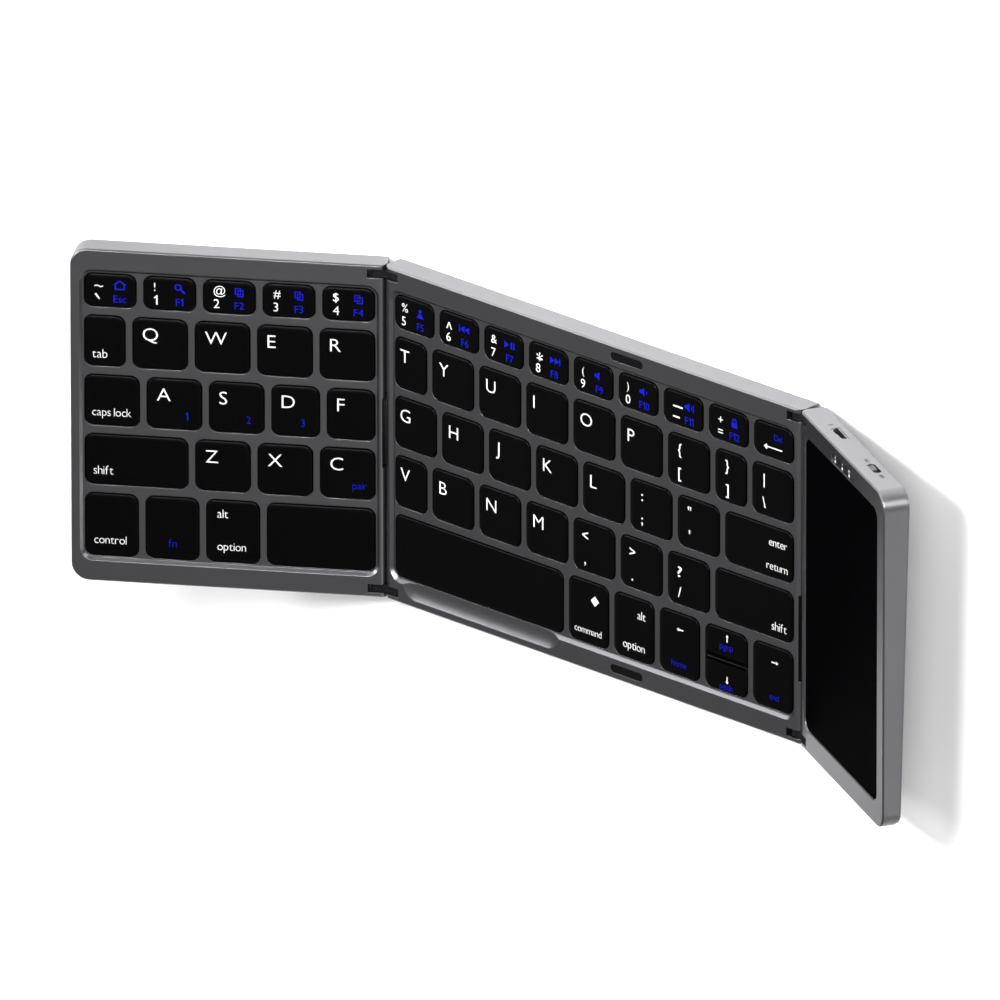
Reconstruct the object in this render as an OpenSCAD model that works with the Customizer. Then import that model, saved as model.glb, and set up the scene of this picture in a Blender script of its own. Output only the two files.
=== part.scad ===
// Three-panel folding keyboard with a touchpad.
// Each panel is built in its own frame: x across, y to the rear, z = 0 on its top face.
// The middle panel stands on its feet; both outer panels hang on two-pin link hinges.

/* [Panels] */
// Depth of every panel, front to rear
panel_d = 98; // [94:1:104]
// Width of the middle panel
middle_w = 152; // [150:1:158]
// Width of the left panel
left_w = 87; // [86:1:92]
// Width of the right panel
right_w = 64; // [60:1:72]
// Thickness at the rear edge, bottom cover included
rear_t = 7.7; // [7.4:0.1:9]
// Thickness at the front edge, bottom cover included
front_t = 5.2; // [5.1:0.1:6]
// Plan radius of the outer panels' free corners
corner_r = 5; // [3:0.5:7]
// Bevel round the top face
top_bevel = 0.4; // [0.2:0.1:0.6]

/* [Hinges] */
// Radius of the rounded top edge beside a hinge
roll_r = 2.2; // [1.8:0.1:2.3]
// Pin to panel side
pin_inset = 3.2; // [3.1:0.1:3.6]
// Pin below the top face
pin_depth = 2.4; // [2.2:0.1:2.4]
// Gap between two panels laid flat
flat_gap = 0.4; // [0.4:0.1:0.8]
// Pin diameter
pin_d = 1.2; // [1:0.1:1.4]
// Radius of the link's round ends
link_r = 1.6; // [1.4:0.1:1.6]
// Width of a link along its pins
link_w = 2.2; // [1.8:0.1:2.4]
// Middle of a link to the panel's front or rear edge
link_edge = 2.5; // [2.4:0.1:2.8]
// Running clearance of a link on its pin, on the radius
pin_play = 0.05; // [0.02:0.01:0.08]
// Fold of the left panel, 0 is flat and 180 is shut
left_fold = 33.4; // [0:0.2:180]
// Fold of the right panel, 0 is flat and 180 is shut
right_fold = 27.8; // [0:0.2:180]

/* [Keys] */
// Hinge side of the middle panel to its first window
middle_margin = 3.3; // [3.2:0.1:4]
// Hinge side of the left panel to its last window
left_hinge_margin = 3; // [2.9:0.1:4]
// Free side of the left panel to its first window
left_margin = 3.6; // [3.2:0.1:4]
// Front and rear edge of a panel to the windows
rim = 7.15; // [7:0.05:9]
// Width of the enter key's window, the letters take the rest
enter_w = 25; // [20:0.5:32]
// Width of the tab key's window, the left letters take the rest
tab_w = 11.6; // [10:0.1:15]
// Width of the narrow windows at the split between the panels
split_w = 11.9; // [11:0.1:12.5]
// Depth of the number row
number_d = 10.2; // [9:0.1:10.8]
// Depth of the bottom row
space_d = 18.8; // [17:0.1:19]
// Web between two windows in a row
web_x = 1.75; // [1.5:0.05:2]
// Web between two rows
web_y = 2.2; // [1.8:0.1:2.3]
// Corner radius of a window
window_r = 2.6; // [2:0.1:3]
// Gap between a keycap and its window
key_gap = 0.3; // [0.2:0.05:0.4]
// Keycap above the webs
key_proud = 0.4; // [0.2:0.1:0.6]
// Height of a keycap
key_h = 1.6; // [1.4:0.1:1.8]
// Thickness of a keycap's top
key_top = 0.8; // [0.6:0.1:0.9]
// Bevel round a keycap
key_bevel = 0.35; // [0.2:0.05:0.5]
// Key travel
key_travel = 1.2; // [1:0.1:1.2]
// Well from the top face down to the webs
well_depth = 1; // [0.8:0.1:1.1]
// Thickness of the webs
web_t = 0.8; // [0.6:0.1:1]

/* [Touchpad side] */
// Thickness of the touchpad glass
glass_t = 0.8; // [0.6:0.1:1]
// Hinge side of the right panel to the glass
glass_inset = 4.2; // [4:0.1:5]
// Free side of the right panel to the glass
glass_free = 5; // [4:0.1:8]
// Front edge of the right panel to the glass
glass_front = 6.8; // [6:0.1:9]
// Rear edge of the right panel to the glass
glass_rear = 6; // [5.8:0.1:9]
// Width of the charging socket's mouth
socket_w = 7.4; // [6.8:0.1:8]
// Hinge side of the right panel to the socket's middle
socket_x = 18.8; // [17:0.1:19.4]
// Middle of the socket below the top face
socket_z = 4.3; // [4.2:0.05:4.4]
// Free side of the right panel to the switch slot's middle
switch_free = 19.4; // [15:0.1:20]
// Travel of the slide switch
switch_travel = 2.4; // [2:0.1:3]
// Length of the indicator window
lens_w = 15; // [13:0.5:15.5]

/* [Covers and feet] */
// Thickness of a bottom cover
cover_t = 0.8; // [0.6:0.1:0.8]
// Bottom cover inside the panel's outline
cover_inset = 0.3; // [0.1:0.1:0.6]
// Diameter of a rubber foot
foot_d = 7; // [5:0.5:9]
// Height of a rubber foot below its cover
foot_h = 0.8; // [0.6:0.1:1.2]

/* [Hidden] */

half_d = panel_d / 2;
half_m = middle_w / 2;
mid_t = (rear_t + front_t) / 2;
wedge = atan((rear_t - front_t) / panel_d);
stand = mid_t * cos(wedge) + foot_h;
fuse = 0.01;
cut_over = 1;
cut_up = 3;

// hinge geometry
link_len = 2 * pin_inset + flat_gap;
link_y = half_d - link_edge;
link_play = 0.15;
link_waist = 2.2;
slot_w = link_w + 2 * link_play;
slot_end = 0.4;
slot_under = 0.2;
slot_len = pin_inset + link_r + slot_end;
slot_floor = pin_depth + link_r + slot_under;
pin_grip = 0.65;
pin_tail = 2;
flex_t = 0.5;
flex_z = 2;
flex_tab = 2.9;
flex_cut_len = 3;
flex_play = 0.15;
left_flex_w = 20;
left_flex_y = -0.5;
right_flex_w = 25;
right_flex_y = -18.3;
notch = 1.1;

// key rows, from the rear: depth of each row and the y of its middle
middle_keys_w = middle_w - 2 * middle_margin;
left_keys_w = left_w - left_margin - left_hinge_margin;
keys_d = panel_d - 2 * rim;
letter_d = (keys_d - number_d - space_d - 4 * web_y) / 3;
letter_w = (middle_keys_w - enter_w - 7 * web_x) / 7;
left_letter_w = (left_keys_w - tab_w - 4 * web_x) / 4;
row_depths = [number_d, letter_d, letter_d, letter_d, space_d];
function row_y(row) = keys_d / 2 - row_depths[row] / 2
    - (row == 0 ? 0 : sum([for (i = [0 : row - 1]) row_depths[i] + web_y]));
function sum(list, i = 0) = i >= len(list) ? 0 : list[i] + sum(list, i + 1);

// what count windows of the given widths leave of a row for one more
function rest_w(widths, total) = total - sum(widths) - len(widths) * web_x;
function window_x(widths, i) =
    widths[i] / 2 + (i == 0 ? 0 : sum([for (k = [0 : i - 1]) widths[k] + web_x]));
function equal_row(count, total) =
    [for (i = [1 : count]) (total - (count - 1) * web_x) / count];
function repeat(count, w) = [for (i = [1 : count]) w];

modifier_w = 14.8;
arrow_pair_w = 15.6;
left_modifier_w = 15;
last_split_w = 11.6;
top_row = concat([split_w], repeat(6, letter_w), [last_split_w]);
bottom_row = concat([split_w], repeat(6, letter_w));
last_row = concat(repeat(3, modifier_w), [arrow_pair_w, modifier_w]);
middle_rows = [
    equal_row(9, middle_keys_w),
    concat(top_row, [rest_w(top_row, middle_keys_w)]),
    concat(repeat(7, letter_w), [enter_w]),
    concat(bottom_row, [rest_w(bottom_row, middle_keys_w)]),
    concat([rest_w(last_row, middle_keys_w)], last_row)];
left_letters = repeat(3, left_letter_w);
left_home_w = (rest_w(left_letters, left_keys_w) - web_x) / 2;
left_last_row = repeat(3, left_modifier_w);
left_rows = [
    equal_row(5, left_keys_w),
    concat([tab_w], repeat(4, left_letter_w)),
    concat(left_letters, repeat(2, left_home_w)),
    concat([rest_w(left_letters, left_keys_w)], left_letters),
    concat(left_last_row, [rest_w(left_last_row, left_keys_w)])];
middle_x0 = -middle_keys_w / 2;
left_x0 = -left_w + left_margin;
arrow_index = 4;
half_key_y = (space_d - key_gap) / 4;
key_wall = 1;

// heights inside a key panel, all below the top face
web_z = -well_depth;
key_z = web_z + key_proud;
well_margin = 0.4;
well_flare = 0.8;
deck_z = web_z - web_t;
plate_t = 0.3;
membrane_t = 0.25;
press_room = 0.35;
membrane_z = key_z - key_h - key_travel - press_room;
plate_z = membrane_z - membrane_t - plate_t;
dome_r = 2.6;
dome_top_r = 1.3;
dome_gap = 0.05;
room_gap = 0.5;
ledge = 0.9;

// touchpad side
glass_drop = 0.25;
glass_r = 3;
glass_rim = 0.25;
glass_bevel = 0.15;
seat_z = -glass_drop - glass_t;
board_t = 0.8;
board_r = 1;
board_air = 0.05;
ceiling_z = seat_z - board_t - board_air;
side_wall = 2;
seat_w = 2;
glass_w = right_w - glass_inset - glass_free;
glass_d = panel_d - glass_front - glass_rear;
glass_x = glass_inset + glass_w / 2;
glass_y = (glass_front - glass_rear) / 2;
lens_d = 2.8;
lens_t = 0.9;
lens_drop = 0.2;
lens_gap = 0.75;
lens_y = glass_y + glass_d / 2 + lens_gap + lens_d / 2;
lens_x = right_w / 2;
lens_r = 1.1;
lens_seat = 0.6;
light_pitch = 5.3;
light_w = 1.2;
socket_h = 1.8;
socket_shell = 0.3;
socket_len = 6;
tongue_w = 4.6;
tongue_t = 0.6;
tongue_back = 1;
socket_back = 0.1;
switch_h = 2.2;
switch_x = right_w - switch_free;
switch_z = 4.6;
switch_deep = 3.8;
switch_high = 2.4;
stem_h = 1;
stem_len = 1.8;
switch_end = 1;
board_gap = 0.4;
knob_w = 3.5;
knob_gap = 0.3;
switch_w = knob_w + switch_travel + 2 * knob_gap;
knob_h = 1.6;
knob_sink = 0.25;
knob_x = switch_x - switch_w / 2 + knob_w / 2 + knob_gap;
rear_wall = 1.2;
main_inset = 11;
main_free = 7;
main_w = right_w - main_inset - main_free;
main_x = main_inset + main_w / 2;
main_d = 17;
main_t = 0.8;
main_z = -socket_z - socket_h / 2 - socket_shell;
battery_w = 36;
battery_d = 44;
battery_t = 2.2;
battery_r = 1.5;
battery_bevel = 0.5;
battery_x = 33;
battery_y = -14;

// seam inserts, where the free edges of the folded panels meet
seam_x = 12.8;
seam_rim = 3.1;
seam_y = half_d - seam_rim;
insert_w = 11.4;
insert_d = 2.3;
insert_t = 0.6;
magnet_t = 1.5;
insert_drop = 0.15;
magnet_w = 8;
magnet_d = 1.5;
fit_gap = 0.1;
screw_d = 2;
screw_len = 1.6;
screw_x = 9;
free_screw_x = 4.5;
screw_rim = 4.6;
screw_y = half_d - screw_rim;
foot_edge = 8;
foot_rim = 12;
foot_y = half_d - foot_rim;
foot_bevel = 0.3;
wing_foot_x = 10;

// thumb scoop
scoop_d = 4.6;
scoop_x0 = -64.5;
scoop_x1 = -16.5;

// ---- placing ----

// the middle panel's frame in the row frame
module in_panel() translate([0, 0, stand]) rotate([wedge, 0, 0]) children();

// a link's frame: origin on the middle panel's pin, x towards the outer panel's pin
module on_link(fold) translate([middle_w / 2 - pin_inset, 0, -pin_depth])
    rotate([0, -fold / 2, 0]) children();

// an outer panel's frame: x = 0 on its hinge side
module on_wing(fold) on_link(fold) translate([link_len, 0, 0])
    rotate([0, -fold / 2, 0]) translate([-pin_inset, 0, pin_depth]) children();

module right_link_place() in_panel() on_link(right_fold) children();
module right_place() in_panel() on_wing(right_fold) children();
module left_link_place() in_panel() mirror([1, 0, 0]) on_link(left_fold) children();
module left_place() in_panel() mirror([1, 0, 0]) on_wing(left_fold) children();
// key windows are listed from left to right, so the left panel's are turned back
module left_keys_place() left_place() mirror([1, 0, 0]) children();

// the slanted underside: z = 0 on the outside of the bottom covers
module at_underside() translate([0, 0, -mid_t]) rotate([-wedge, 0, 0]) children();

// ---- shared shapes ----

module round_rect(w, d, r) {
    square([w - 2 * r, d], center = true);
    square([w, d - 2 * r], center = true);
    for (sx = [-1, 1], sy = [-1, 1]) translate([sx * (w / 2 - r), sy * (d / 2 - r)]) circle(r);
}

// a block with round corners and a bevel of c on top; a negative c flares it
module bevel_block(w, d, h, r, c) {
    deep = [[-d / 2, 0], [d / 2, 0], [d / 2, h - abs(c)], [d / 2 - c, h], [-d / 2 + c, h],
        [-d / 2, h - abs(c)]];
    wide = [[-w / 2, 0], [w / 2, 0], [w / 2, h - abs(c)], [w / 2 - c, h], [-w / 2 + c, h],
        [-w / 2, h - abs(c)]];
    translate([-w / 2 + r, 0, 0]) rotate([90, 0, 90]) linear_extrude(w - 2 * r) polygon(deep);
    translate([0, d / 2 - r, 0]) rotate([90, 0, 0]) linear_extrude(d - 2 * r) polygon(wide);
    for (sx = [-1, 1], sy = [-1, 1]) translate([sx * (w / 2 - r), sy * (d / 2 - r), 0])
        rotate_extrude() polygon([[0, 0], [r, 0], [r, h - abs(c)], [r - c, h], [0, h]]);
}

// a panel's outline seen from the side, with both long top edges bevelled
module side_profile(sink) polygon([
    [-half_d, -front_t + sink], [half_d, -rear_t + sink], [half_d, -top_bevel],
    [half_d - top_bevel, 0], [-half_d + top_bevel, 0], [-half_d, -top_bevel]]);

// a panel's section across its hinges, from x = 0 to x = w, rolled on one side or on both
module roll_profile(w, both) {
    flat_w = w - roll_r * (both ? 2 : 1);
    translate([roll_r, -rear_t]) square([flat_w, rear_t]);
    translate([0, -rear_t]) square([w, rear_t - roll_r]);
    for (x = both ? [roll_r, w - roll_r] : [roll_r]) translate([x, -roll_r]) circle(roll_r);
}

// the solid of a panel from its hinge side to x = w
module rolled_body(w, both) intersection() {
    translate([0, half_d, 0]) rotate([90, 0, 0]) linear_extrude(panel_d) roll_profile(w, both);
    rotate([90, 0, 90]) linear_extrude(w) side_profile(cover_t / cos(wedge));
}

// an outer panel's solid, with its free side bevelled and its free corners round
module wing_body(w) intersection() {
    rolled_body(w, false);
    union() {
        translate([-cut_over, -half_d, -rear_t])
            cube([w + cut_over - corner_r, panel_d, rear_t + cut_over]);
        translate([w - corner_r, 0, 0]) rotate([90, 0, 0])
            translate([0, 0, -half_d + corner_r]) linear_extrude(panel_d - 2 * corner_r)
                polygon([[-fuse, -rear_t], [corner_r, -rear_t], [corner_r, -top_bevel],
                    [corner_r - top_bevel, 0], [-fuse, 0]]);
        for (sy = [-1, 1]) translate([w - corner_r, sy * (half_d - corner_r), 0])
            rotate_extrude() polygon([[0, -rear_t], [corner_r, -rear_t],
                [corner_r, -top_bevel], [corner_r - top_bevel, 0], [0, 0]]);
    }
}

module both_ends() for (m = [0, 1]) mirror([0, m, 0]) children();

// slots for the links and bores for their pins, on the hinge side of a panel
module hinge_cuts() both_ends() {
    translate([-cut_over, link_y - slot_w / 2, -slot_floor])
        cube([slot_len + cut_over, slot_w, slot_floor + cut_over]);
    pin_rod(link_y + slot_w / 2 - keys_d / 2 + pin_grip);
}

// a rod on a hinge pin's axis, of length len inwards from its blind end
module pin_rod(len) translate([pin_inset, link_y + slot_w / 2 + pin_grip, -pin_depth])
    rotate([90, 0, 0]) cylinder(d = pin_d, h = len);

module hinge_pins() both_ends() pin_rod(pin_grip + slot_w + pin_tail);

// a link: two eyes joined by a waist, at one end of a hinge
module link(s) translate([0, s * link_y + link_w / 2, 0]) rotate([90, 0, 0])
    linear_extrude(link_w) difference() {
        union() {
            for (x = [0, link_len]) translate([x, 0]) circle(link_r);
            translate([0, -link_waist / 2]) square([link_len, link_waist]);
        }
        for (x = [0, link_len]) translate([x, 0]) circle(pin_d / 2 + pin_play);
    }

// a point of an outer panel's section, x from its hinge side, in the middle panel's section
function wing_point(x, z, fold) = [
    half_m - pin_inset + link_len * cos(fold / 2)
        + (x - pin_inset) * cos(fold) - (z + pin_depth) * sin(fold),
    -pin_depth + link_len * sin(fold / 2)
        + (x - pin_inset) * sin(fold) + (z + pin_depth) * cos(fold)];

// the flex ribbon from the middle panel into an outer one
module flex(fold, y, w) translate([0, y + w / 2, 0]) rotate([90, 0, 0]) linear_extrude(w)
    polygon([for (side = [0.5, -0.5]) let (z = -flex_z + side * flex_t, ends = [
        [half_m - flex_tab, z], [half_m, z],
        wing_point(0, z, fold), wing_point(flex_tab, z, fold)])
        for (i = side > 0 ? [0 : 3] : [3 : -1 : 0]) ends[i]]);

// the way for a flex ribbon through a panel's hinge side
module flex_cut(y, w) {
    translate([-cut_over, y - w / 2 - flex_play, -flex_z - flex_t / 2 - flex_play])
        cube([flex_cut_len + cut_over, w + 2 * flex_play, flex_t + 2 * flex_play]);
    translate([-cut_over, y - w / 2 - flex_play, -flex_z])
        cube([notch + cut_over, w + 2 * flex_play, flex_z + cut_over]);
}

module at_corners(x0, x1, y) for (x = [x0, x1], sy = [-1, 1]) translate([x, sy * y, 0]) children();

// ---- key panels ----

module windows(rows, x0, grow) for (row = [0 : 4]) for (i = [0 : len(rows[row]) - 1])
    translate([x0 + window_x(rows[row], i), row_y(row)])
        round_rect(rows[row][i] + 2 * grow, row_depths[row] + 2 * grow, window_r + grow);

// the well, its windows and the room below it, w wide round the windows
module key_cuts(rows, x0, w) {
    translate([x0 + w / 2, 0, web_z])
        bevel_block(w + 2 * well_margin, keys_d + 2 * well_margin, well_depth + fuse,
            window_r + well_margin, -well_flare);
    translate([0, 0, deck_z - cut_over]) linear_extrude(cut_up) windows(rows, x0, 0);
    room_box(x0, w, room_gap, deck_z);
    room_box(x0, w, ledge, plate_z + plate_t);
}

// a box round the windows, from below the panel up to z
module room_box(x0, w, round_gap, z)
    translate([x0 - round_gap, -keys_d / 2 - round_gap, -rear_t - cut_over])
    cube([w + 2 * round_gap, keys_d + 2 * round_gap, rear_t + cut_over + z]);

// one keycap with its hollow underside, for a window of w by d
module keycap(w, d) translate([0, 0, key_z - key_h]) difference() {
    bevel_block(w - 2 * key_gap, d - 2 * key_gap, key_h, window_r - key_gap, key_bevel);
    translate([0, 0, -fuse]) linear_extrude(key_h - key_top + fuse)
        round_rect(w - 2 * (key_gap + key_wall), d - 2 * (key_gap + key_wall), window_r / 2);
}

// the keycaps of one row from window a to window b
module key_run(rows, x0, row, a, b) for (i = [a : b])
    translate([x0 + window_x(rows[row], i), row_y(row), 0]) keycap(rows[row][i], row_depths[row]);

// the arrow window holds two half keys, one behind the other
module half_key(s) translate([middle_x0 + window_x(middle_rows[4], arrow_index),
    row_y(4) + s * half_key_y, 0]) keycap(arrow_pair_w, (space_d + key_gap) / 2);

// a sheet below the keys, its top at z, reaching past the windows by over
module key_sheet(x0, w, over, z, t) translate([x0 - over, -keys_d / 2 - over, z - t])
    cube([w + 2 * over, keys_d + 2 * over, t]);

module key_plate(x0, w) key_sheet(x0, w, ledge - fit_gap, plate_z + plate_t, plate_t);
module membrane(x0, w) key_sheet(x0, w, room_gap - 2 * fit_gap, membrane_z, membrane_t);

// rubber domes, one under every key and two under the long ones
dome_h = key_z - key_top - dome_gap - membrane_z;
module domes(rows, x0) for (row = [0 : 4]) for (i = [0 : len(rows[row]) - 1]) {
    w = rows[row][i];
    for (p = w == arrow_pair_w ? [[0, half_key_y], [0, -half_key_y]]
        : w > 1.5 * letter_w ? [[w / 4, 0], [-w / 4, 0]] : [[0, 0]])
        translate([x0 + window_x(rows[row], i) + p[0], row_y(row) + p[1], membrane_z])
            cylinder(r1 = dome_r, r2 = dome_top_r, h = dome_h);
}

// ---- underside ----

module screws(x0, x1) at_underside() at_corners(x0, x1, screw_y)
    cylinder(d = screw_d, h = screw_len);

module feet(x0, x1) at_underside() at_corners(x0, x1, foot_y) translate([0, 0, -foot_h])
    rotate_extrude() polygon([[0, 0], [foot_d / 2 - foot_bevel, 0], [foot_d / 2, foot_bevel],
        [foot_d / 2, foot_h], [0, foot_h]]);

// ---- middle panel ----

module middle_frame() color("dimgray") in_panel() difference() {
    translate([-half_m, 0, 0]) rolled_body(middle_w, true);
    key_cuts(middle_rows, middle_x0, middle_keys_w);
    for (m = [0, 1]) mirror([m, 0, 0]) translate([-half_m, 0, 0]) hinge_cuts();
    translate([-half_m, 0, 0]) flex_cut(left_flex_y, left_flex_w);
    mirror([1, 0, 0]) translate([-half_m, 0, 0]) flex_cut(right_flex_y, right_flex_w);
    thumb_scoop();
    both_ends() translate([seam_x, seam_y, 0]) {
        translate([0, 0, -insert_drop - insert_t]) linear_extrude(cut_up)
            round_rect(insert_w + 2 * fit_gap, insert_d + 2 * fit_gap, insert_d / 2);
        translate([0, 0, -insert_drop - insert_t - magnet_t]) linear_extrude(cut_up)
            square([magnet_w + 2 * fit_gap, magnet_d + 2 * fit_gap], center = true);
    }
    screws(-half_m + screw_x, half_m - screw_x);
}

// the trough before the space bar, tangent to the webs and running out on the top face
module thumb_scoop() {
    scoop_r = (pow(scoop_d, 2) + pow(well_depth, 2)) / (2 * well_depth);
    scoop_y = -keys_d / 2 - well_margin;
    intersection() {
        union() {
            translate([scoop_x0, scoop_y, web_z + scoop_r]) rotate([0, 90, 0])
                cylinder(r = scoop_r, h = scoop_x1 - scoop_x0);
            for (x = [scoop_x0, scoop_x1]) translate([x, scoop_y, web_z + scoop_r])
                sphere(scoop_r);
        }
        translate([-half_m, -half_d, web_z - cut_over]) cube([middle_w, half_d + scoop_y, cut_up]);
    }
}

module middle_cover() color("slategray") in_panel() at_underside() difference() {
    translate([-half_m + cover_inset, -half_d + cover_inset, 0])
        cube([middle_w - 2 * cover_inset, panel_d - 2 * cover_inset, cover_t]);
    at_corners(-half_m + screw_x, half_m - screw_x, screw_y) screw_hole();
}

module screw_hole() translate([0, 0, -cut_over]) cylinder(d = screw_d, h = cover_t + 2 * cut_over);

module middle_feet() color("black") in_panel() feet(-half_m + foot_edge, half_m - foot_edge);
module middle_screws() color("silver") in_panel() screws(-half_m + screw_x, half_m - screw_x);
module middle_key_plate() color("silver") in_panel() key_plate(middle_x0, middle_keys_w);
module middle_membrane() color("olivedrab") in_panel() membrane(middle_x0, middle_keys_w);
module middle_domes() color("gainsboro") in_panel() {
    domes(middle_rows, middle_x0);
}

module middle_hinge_pins() color("silver") in_panel() for (m = [0, 1]) mirror([m, 0, 0])
    translate([-half_m, 0, 0]) hinge_pins();

module seam_inserts() color("black") in_panel() both_ends()
    translate([seam_x, seam_y, -insert_drop - insert_t]) linear_extrude(insert_t)
        round_rect(insert_w, insert_d, insert_d / 2 - fit_gap);

module seam_magnets() color("silver") in_panel() both_ends()
    translate([seam_x, seam_y, -insert_drop - insert_t - magnet_t]) linear_extrude(magnet_t)
        square([magnet_w, magnet_d], center = true);

module middle_keys(row, a, b) color("black") in_panel() key_run(middle_rows, middle_x0, row, a, b);
module middle_number_keys() middle_keys(0, 0, 8);
module middle_top_keys() middle_keys(1, 0, 8);
module middle_home_keys() middle_keys(2, 0, 6);
module enter_key() middle_keys(2, 7, 7);
module middle_bottom_keys() middle_keys(3, 0, 6);
module right_shift_key() middle_keys(3, 7, 7);
module space_bar() middle_keys(4, 0, 0);
module middle_modifier_keys() middle_keys(4, 1, 2);
module arrow_left_key() middle_keys(4, 3, 3);
module arrow_up_key() color("black") in_panel() half_key(1);
module arrow_down_key() color("black") in_panel() half_key(-1);
module arrow_right_key() middle_keys(4, 5, 5);

// ---- left panel ----

module left_frame() color("dimgray") difference() {
    left_place() difference() {
        wing_body(left_w);
        hinge_cuts();
        flex_cut(left_flex_y, left_flex_w);
        screws(screw_x, left_w - free_screw_x);
    }
    left_keys_place() key_cuts(left_rows, left_x0, left_keys_w);
}

// an outer panel's bottom cover
module wing_cover(w) at_underside() difference() {
    union() {
        translate([cover_inset, -half_d + cover_inset, 0])
            cube([w - corner_r - cover_inset, panel_d - 2 * cover_inset, cover_t]);
        translate([w - 2 * corner_r, -half_d + corner_r, 0])
            cube([2 * corner_r - cover_inset, panel_d - 2 * corner_r, cover_t]);
        both_ends() translate([w - corner_r, half_d - corner_r, 0])
            cylinder(r = corner_r - cover_inset, h = cover_t);
    }
    at_corners(screw_x, w - free_screw_x, screw_y) screw_hole();
}

module left_cover() color("slategray") left_place() wing_cover(left_w);
module left_feet() color("black") left_place() feet(wing_foot_x, left_w - foot_edge);
module left_screws() color("silver") left_place() screws(screw_x, left_w - free_screw_x);
module left_key_plate() color("silver") left_keys_place() key_plate(left_x0, left_keys_w);
module left_membrane() color("olivedrab") left_keys_place() membrane(left_x0, left_keys_w);
module left_domes() color("gainsboro") left_keys_place() domes(left_rows, left_x0);
module left_hinge_pins() color("silver") left_place() hinge_pins();

module left_keys(row, a, b) color("black") left_keys_place() key_run(left_rows, left_x0, row, a, b);
module left_number_keys() left_keys(0, 0, 4);
module left_top_keys() left_keys(1, 0, 4);
module left_home_keys() left_keys(2, 0, 4);
module left_shift_key() left_keys(3, 0, 0);
module left_bottom_keys() left_keys(3, 1, 3);
module left_modifier_keys() left_keys(4, 0, 2);
module left_space_key() left_keys(4, 3, 3);

// ---- hinges ----

module left_rear_link() color("black") left_link_place() link(1);
module left_front_link() color("black") left_link_place() link(-1);
module right_rear_link() color("black") right_link_place() link(1);
module right_front_link() color("black") right_link_place() link(-1);
module left_flex() color("black") in_panel() mirror([1, 0, 0])
    flex(left_fold, left_flex_y, left_flex_w);
module right_flex() color("black") in_panel() flex(right_fold, right_flex_y, right_flex_w);

// ---- right panel ----

module right_frame() color("dimgray") right_place() difference() {
    wing_body(right_w);
    hinge_cuts();
    flex_cut(right_flex_y, right_flex_w);
    screws(screw_x, right_w - free_screw_x);
    // the glass seat, its opening and the room below
    translate([glass_x, glass_y, seat_z])
        bevel_block(glass_w + 2 * fit_gap, glass_d + 2 * fit_gap, -seat_z + fuse, glass_r,
            -glass_rim);
    translate([glass_x, glass_y, ceiling_z - cut_over]) linear_extrude(cut_up)
        round_rect(glass_w - 2 * seat_w, glass_d - 2 * seat_w, board_r);
    translate([side_wall, -keys_d / 2 - ledge, -rear_t - cut_over])
        cube([right_w - 2 * side_wall, keys_d + 2 * ledge, rear_t + cut_over + ceiling_z]);
    translate([main_x - main_w / 2 - room_gap, 0, -rear_t - cut_over])
        cube([main_w + 2 * room_gap, half_d - rear_wall, rear_t + cut_over + ceiling_z]);
    // the indicator window
    translate([lens_x, lens_y, -lens_drop - lens_t]) linear_extrude(cut_up)
        round_rect(lens_w + 2 * fit_gap, lens_d + 2 * fit_gap, lens_r);
    translate([lens_x, lens_y, ceiling_z - cut_over]) linear_extrude(cut_up)
        square([lens_w - 2 * lens_seat, lens_d - 2 * lens_seat], center = true);
    // the socket's mouth and the switch slot in the rear wall
    at_rear_wall(socket_x, socket_z, rear_wall + cut_over) linear_extrude(cut_up)
        socket_outline(socket_shell + fit_gap);
    at_rear_wall(switch_x, switch_z, rear_wall + cut_over) linear_extrude(cut_up)
        round_rect(switch_w, switch_h, switch_h / 2 - fuse);
}

// a frame that far inside the rear face of the right panel: y up, z outwards
module at_rear_wall(x, depth, inside) translate([x, half_d - inside, -depth])
    rotate([90, 0, 180]) children();

// the socket's mouth, with its corners cut on the side of the top face
module socket_outline(grow) {
    w = socket_w / 2 + grow;
    h = socket_h / 2 + grow;
    cut = socket_h / 2;
    polygon([[-w, -h], [w, -h], [w, h - cut], [w - cut, h], [-w + cut, h], [-w, h - cut]]);
}

module right_cover() color("slategray") right_place() wing_cover(right_w);
module right_feet() color("black") right_place() feet(wing_foot_x, right_w - foot_edge);
module right_screws() color("silver") right_place() screws(screw_x, right_w - free_screw_x);
module right_hinge_pins() color("silver") right_place() hinge_pins();

module touchpad_glass() color("black") right_place() translate([glass_x, glass_y, seat_z])
    bevel_block(glass_w, glass_d, glass_t, glass_r, glass_bevel);

module touchpad_board() color("darkgreen") right_place()
    translate([glass_x, glass_y, seat_z - board_t]) linear_extrude(board_t)
        round_rect(glass_w - 2 * seat_w - 2 * fit_gap, glass_d - 2 * seat_w - 2 * fit_gap, board_r);

module indicator_lens() color("black") right_place()
    translate([lens_x, lens_y, -lens_drop - lens_t]) linear_extrude(lens_t)
        round_rect(lens_w, lens_d, lens_r);

module indicator_lights() color("white") right_place() for (i = [-1 : 1])
    translate([lens_x + i * light_pitch - light_w / 2, lens_y - light_w / 2, main_z])
        cube([light_w, light_w, -lens_drop - lens_t - fit_gap - main_z]);

module main_board() color("darkgreen") right_place()
    translate([main_x - main_w / 2, half_d - rear_wall - board_gap - main_d, main_z - main_t])
        cube([main_w, main_d, main_t]);

module charging_socket() color("silver") right_place()
    at_rear_wall(socket_x, socket_z, socket_len + socket_back) {
        difference() {
            linear_extrude(socket_len) socket_outline(socket_shell);
            translate([0, 0, socket_shell]) linear_extrude(socket_len) socket_outline(0);
        }
        translate([-tongue_w / 2, -tongue_t / 2, 0]) cube([tongue_w, tongue_t, socket_len - tongue_back]);
    }

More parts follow.
